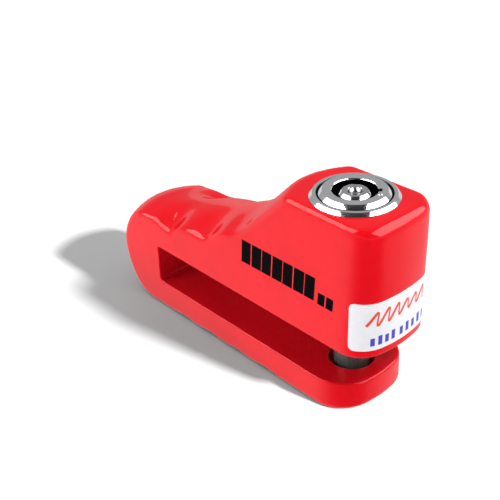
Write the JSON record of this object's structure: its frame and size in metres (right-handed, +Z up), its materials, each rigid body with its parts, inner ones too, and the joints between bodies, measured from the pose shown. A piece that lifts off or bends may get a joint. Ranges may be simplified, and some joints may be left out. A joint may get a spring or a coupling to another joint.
{
  "type": "disc brake lock",
  "caption": "C-shaped press-to-lock brake disc lock: die-cast body with a disc slot, a sliding tubular key cylinder and a bolt that crosses the slot.",
  "frame": {"origin": "point where the bolt's axis meets the flat underside of the jaw", "axes": "+Z up along the bolt's axis to the key face, +X towards the rounded front of the head and the open mouth of the slot, +Y across the body"},
  "size_m": [0.1052, 0.028, 0.06],
  "materials": {
    "red_paint": "gloss powder coat on a zinc alloy casting",
    "chrome": "polished chrome plate",
    "steel": "ground steel",
    "hard_steel": "hardened steel",
    "spring_steel": "spring wire",
    "brass": "turned brass",
    "white_film": "printed self-adhesive film"
  },
  "bodies": {
    "housing": {"lock_body": "red_paint", "lock_shell": "chrome", "retaining_pin": "steel", "return_spring": "spring_steel", "front_label": "white_film"},
    "plunger": {"plunger_housing": "chrome", "latch_carrier": "steel", "carrier_pin": "steel", "lock_bolt": "steel", "bolt_pin": "steel", "driver_sleeve": "brass", "sleeve_pin": "steel", "pawl_spring": "spring_steel", "driver_pin_1": "brass", "driver_pin_2": "brass", "driver_pin_3": "brass", "driver_pin_4": "brass", "driver_pin_5": "brass", "driver_pin_6": "brass", "driver_pin_7": "brass", "driver_spring_1": "spring_steel", "driver_spring_2": "spring_steel", "driver_spring_3": "spring_steel", "driver_spring_4": "spring_steel", "driver_spring_5": "spring_steel", "driver_spring_6": "spring_steel", "driver_spring_7": "spring_steel"},
    "spindle": {"spindle": "steel", "drill_ball": "hard_steel", "cam": "hard_steel", "cam_clip": "spring_steel"},
    "pawl": {"locking_pawl": "hard_steel"},
    "key_pin_1": {"key_pin_1": "brass"},
    "key_pin_2": {"key_pin_2": "brass"},
    "key_pin_3": {"key_pin_3": "brass"},
    "key_pin_4": {"key_pin_4": "brass"},
    "key_pin_5": {"key_pin_5": "brass"},
    "key_pin_6": {"key_pin_6": "brass"},
    "key_pin_7": {"key_pin_7": "brass"}
  },
  "joints": [
    {"name": "plunger_slide", "type": "slide", "parent": "housing", "child": "plunger", "axis": [0, 0, 1], "range_m": [0, 0.0165], "deforming": ["return_spring"]},
    {"name": "key_turn", "type": "hinge", "parent": "plunger", "child": "spindle", "pos_m": [0, 0, 0.0549], "axis": [0, 0, 1], "range_deg": [-90, 0]},
    {"name": "pawl_slide", "type": "slide", "parent": "plunger", "child": "pawl", "axis": [-1, 0, 0], "range_m": [0, 0.00135], "deforming": ["pawl_spring"]},
    {"name": "key_pin_1_slide", "type": "slide", "parent": "spindle", "child": "key_pin_1", "axis": [0, 0, 1], "range_m": [-0.0012, 0]},
    {"name": "key_pin_2_slide", "type": "slide", "parent": "spindle", "child": "key_pin_2", "axis": [0, 0, 1], "range_m": [-0.002, 0]},
    {"name": "key_pin_3_slide", "type": "slide", "parent": "spindle", "child": "key_pin_3", "axis": [0, 0, 1], "range_m": [-0.0008, 0]},
    {"name": "key_pin_4_slide", "type": "slide", "parent": "spindle", "child": "key_pin_4", "axis": [0, 0, 1], "range_m": [-0.0016, 0]},
    {"name": "key_pin_5_slide", "type": "slide", "parent": "spindle", "child": "key_pin_5", "axis": [0, 0, 1], "range_m": [-0.0024, 0]},
    {"name": "key_pin_6_slide", "type": "slide", "parent": "spindle", "child": "key_pin_6", "axis": [0, 0, 1], "range_m": [-0.001, 0]},
    {"name": "key_pin_7_slide", "type": "slide", "parent": "spindle", "child": "key_pin_7", "axis": [0, 0, 1], "range_m": [-0.0018, 0]}
  ],
  "couplings": [
    {"joint": "pawl_slide", "follows": "key_turn", "m_per_rad": -0.00085307}
  ]
}
